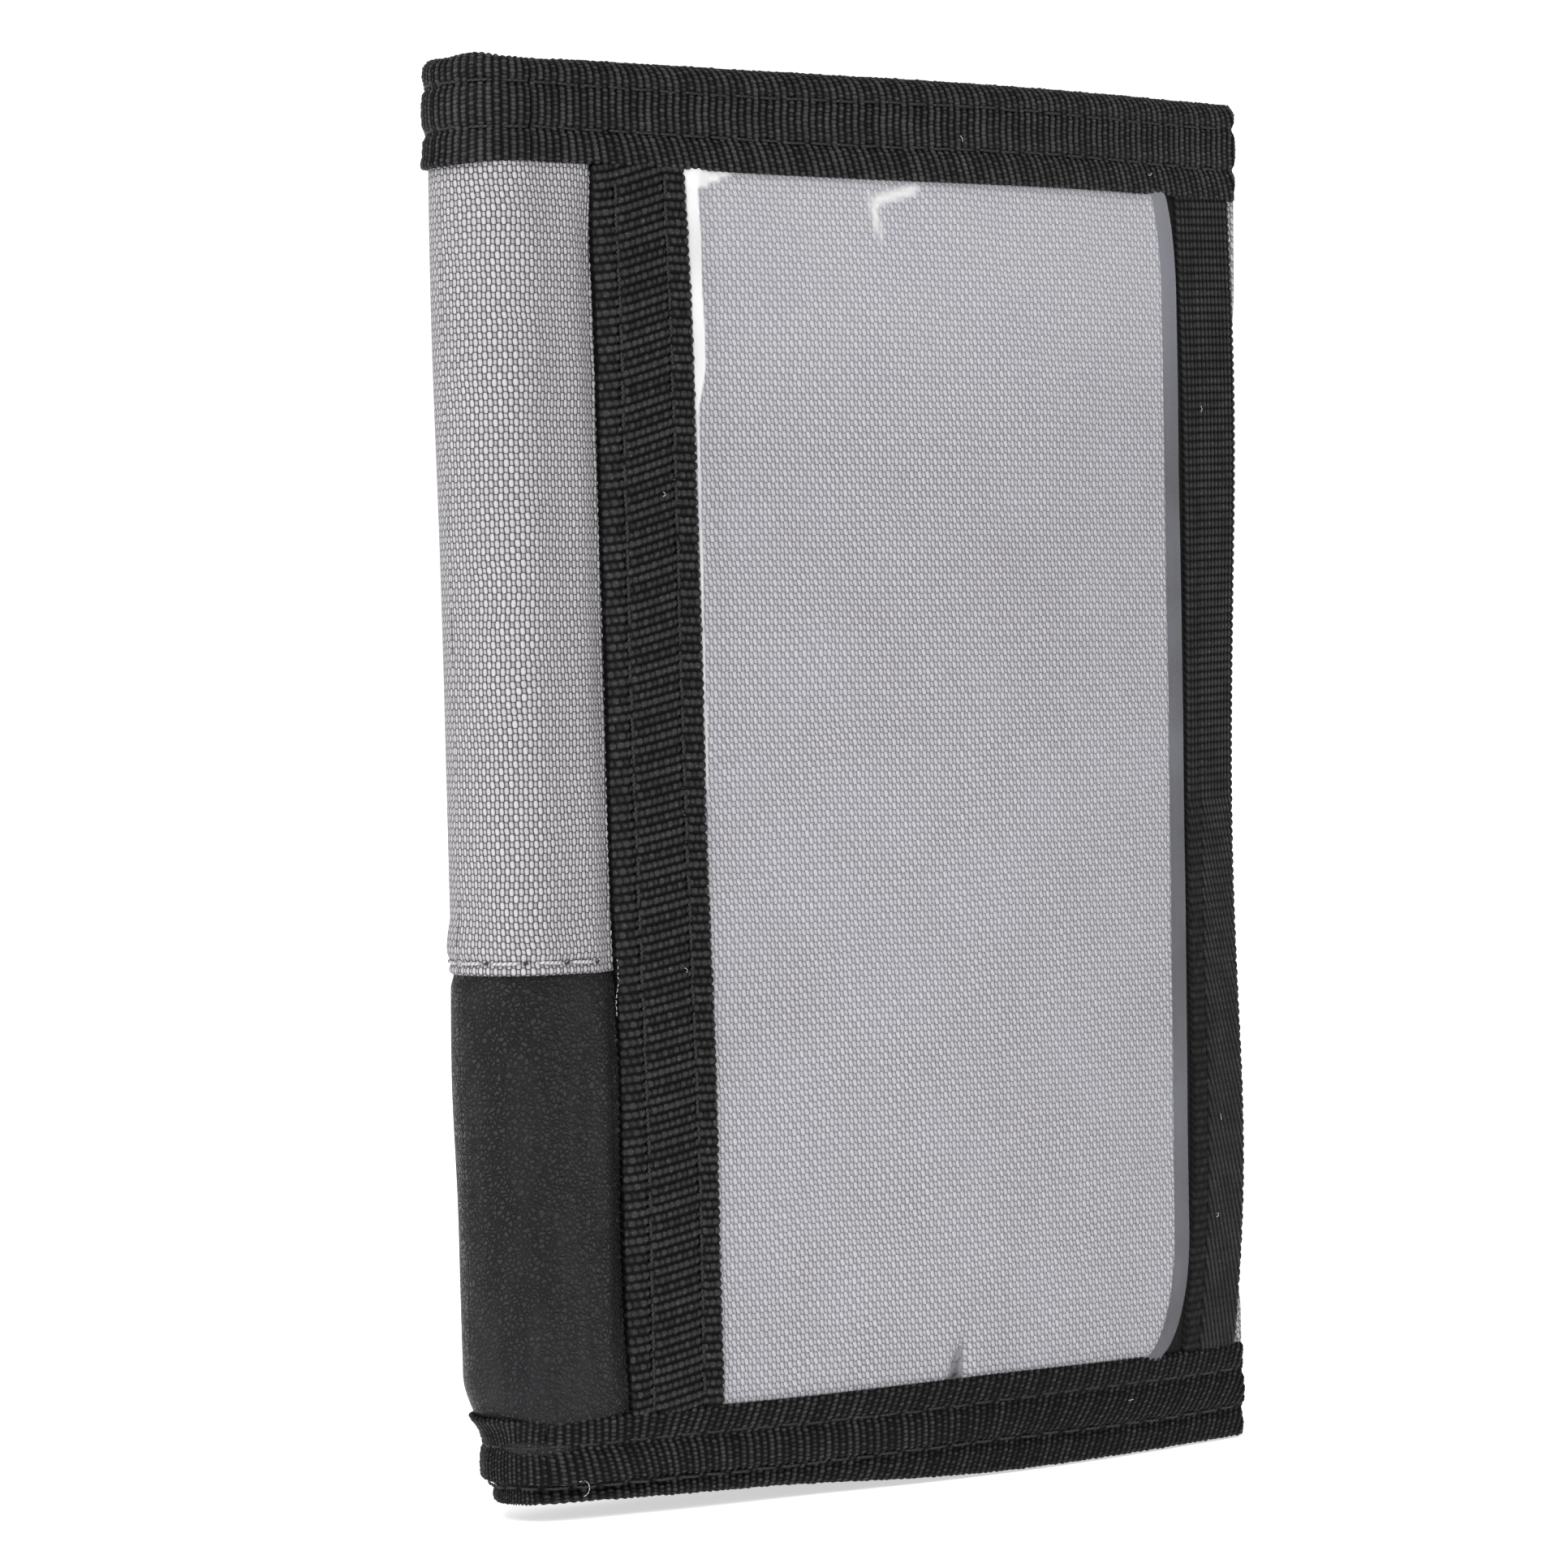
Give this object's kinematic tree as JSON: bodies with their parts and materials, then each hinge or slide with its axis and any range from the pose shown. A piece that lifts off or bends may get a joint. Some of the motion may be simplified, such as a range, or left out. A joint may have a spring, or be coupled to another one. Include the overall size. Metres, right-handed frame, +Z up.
{
  "type": "bifold wallet",
  "caption": "Fabric bifold wallet that folds like a book: woven shell with bound edges, clear ID window outside, note compartment, card slots and hook-and-loop closure inside.",
  "frame": {"origin": "middle of the base of the closed wallet standing on its bottom edge, on the surface it rests on", "axes": "+Z up along the fold, -X towards the fold (spine), +X towards the free edges, -Y out of the front panel with the clear window, +Y out of the back panel"},
  "size_m": [0.085, 0.0112, 0.125],
  "materials": {
    "grey_oxford": "plain-weave polyester Oxford cloth, matt",
    "leather_look": "fine-grained black leather-look sheet, satin",
    "clear_film": "clear flexible film, glossy",
    "ribbed_webbing": "ribbed black webbing, matt",
    "binding_tape": "ribbed black binding tape, matt",
    "black_pocket_cloth": "fine black pocket cloth, matt",
    "lining_cloth": "thin black lining, slight sheen",
    "foam_sheet": "thin padding, matt",
    "hook_and_loop": "hook and loop tape, matt"
  },
  "bodies": {
    "back_panel": {"back_shell": "grey_oxford", "back_patch": "leather_look", "back_top_tape": "binding_tape", "back_bottom_tape": "binding_tape", "back_stiffener": "foam_sheet", "back_lining": "lining_cloth", "back_inner_wall": "black_pocket_cloth", "back_inner_tape": "binding_tape", "slip_pocket_tall": "black_pocket_cloth", "slip_pocket_tall_tape": "binding_tape", "slip_pocket_short": "black_pocket_cloth", "slip_pocket_short_tape": "binding_tape", "back_edge_band": "binding_tape", "loop_tape": "hook_and_loop"},
    "spine": {"spine_shell": "grey_oxford", "spine_patch": "leather_look", "spine_lining": "lining_cloth", "spine_inner_wall": "black_pocket_cloth", "spine_top_tape": "binding_tape", "spine_bottom_tape": "binding_tape", "spine_inner_tape": "binding_tape"},
    "front_panel": {"front_side_strip": "grey_oxford", "front_side_patch": "leather_look", "window_backing": "grey_oxford", "window_film": "clear_film", "window_webbing": "ribbed_webbing", "edge_webbing": "ribbed_webbing", "front_top_tape": "binding_tape", "front_bottom_tape": "binding_tape", "front_stiffener": "foam_sheet", "front_lining": "lining_cloth", "front_inner_wall": "black_pocket_cloth", "front_inner_tape": "binding_tape", "card_slot_rear": "black_pocket_cloth", "card_slot_rear_tape": "binding_tape", "card_slot_middle": "black_pocket_cloth", "card_slot_middle_tape": "binding_tape", "card_slot_near": "black_pocket_cloth", "card_slot_near_tape": "binding_tape", "front_edge_band": "binding_tape", "hook_tape": "hook_and_loop"}
  },
  "joints": [
    {"name": "spine_fold", "type": "hinge", "parent": "back_panel", "child": "spine", "pos_m": [-0.0406, 0.0037, 0], "axis": [0, 0, -1], "range_deg": [0, 90]},
    {"name": "front_fold", "type": "hinge", "parent": "spine", "child": "front_panel", "pos_m": [-0.0406, -0.0037, 0], "axis": [0, 0, -1], "range_deg": [0, 90]}
  ],
  "couplings": [
    {"joint": "front_fold", "follows": "spine_fold", "ratio": 1}
  ]
}
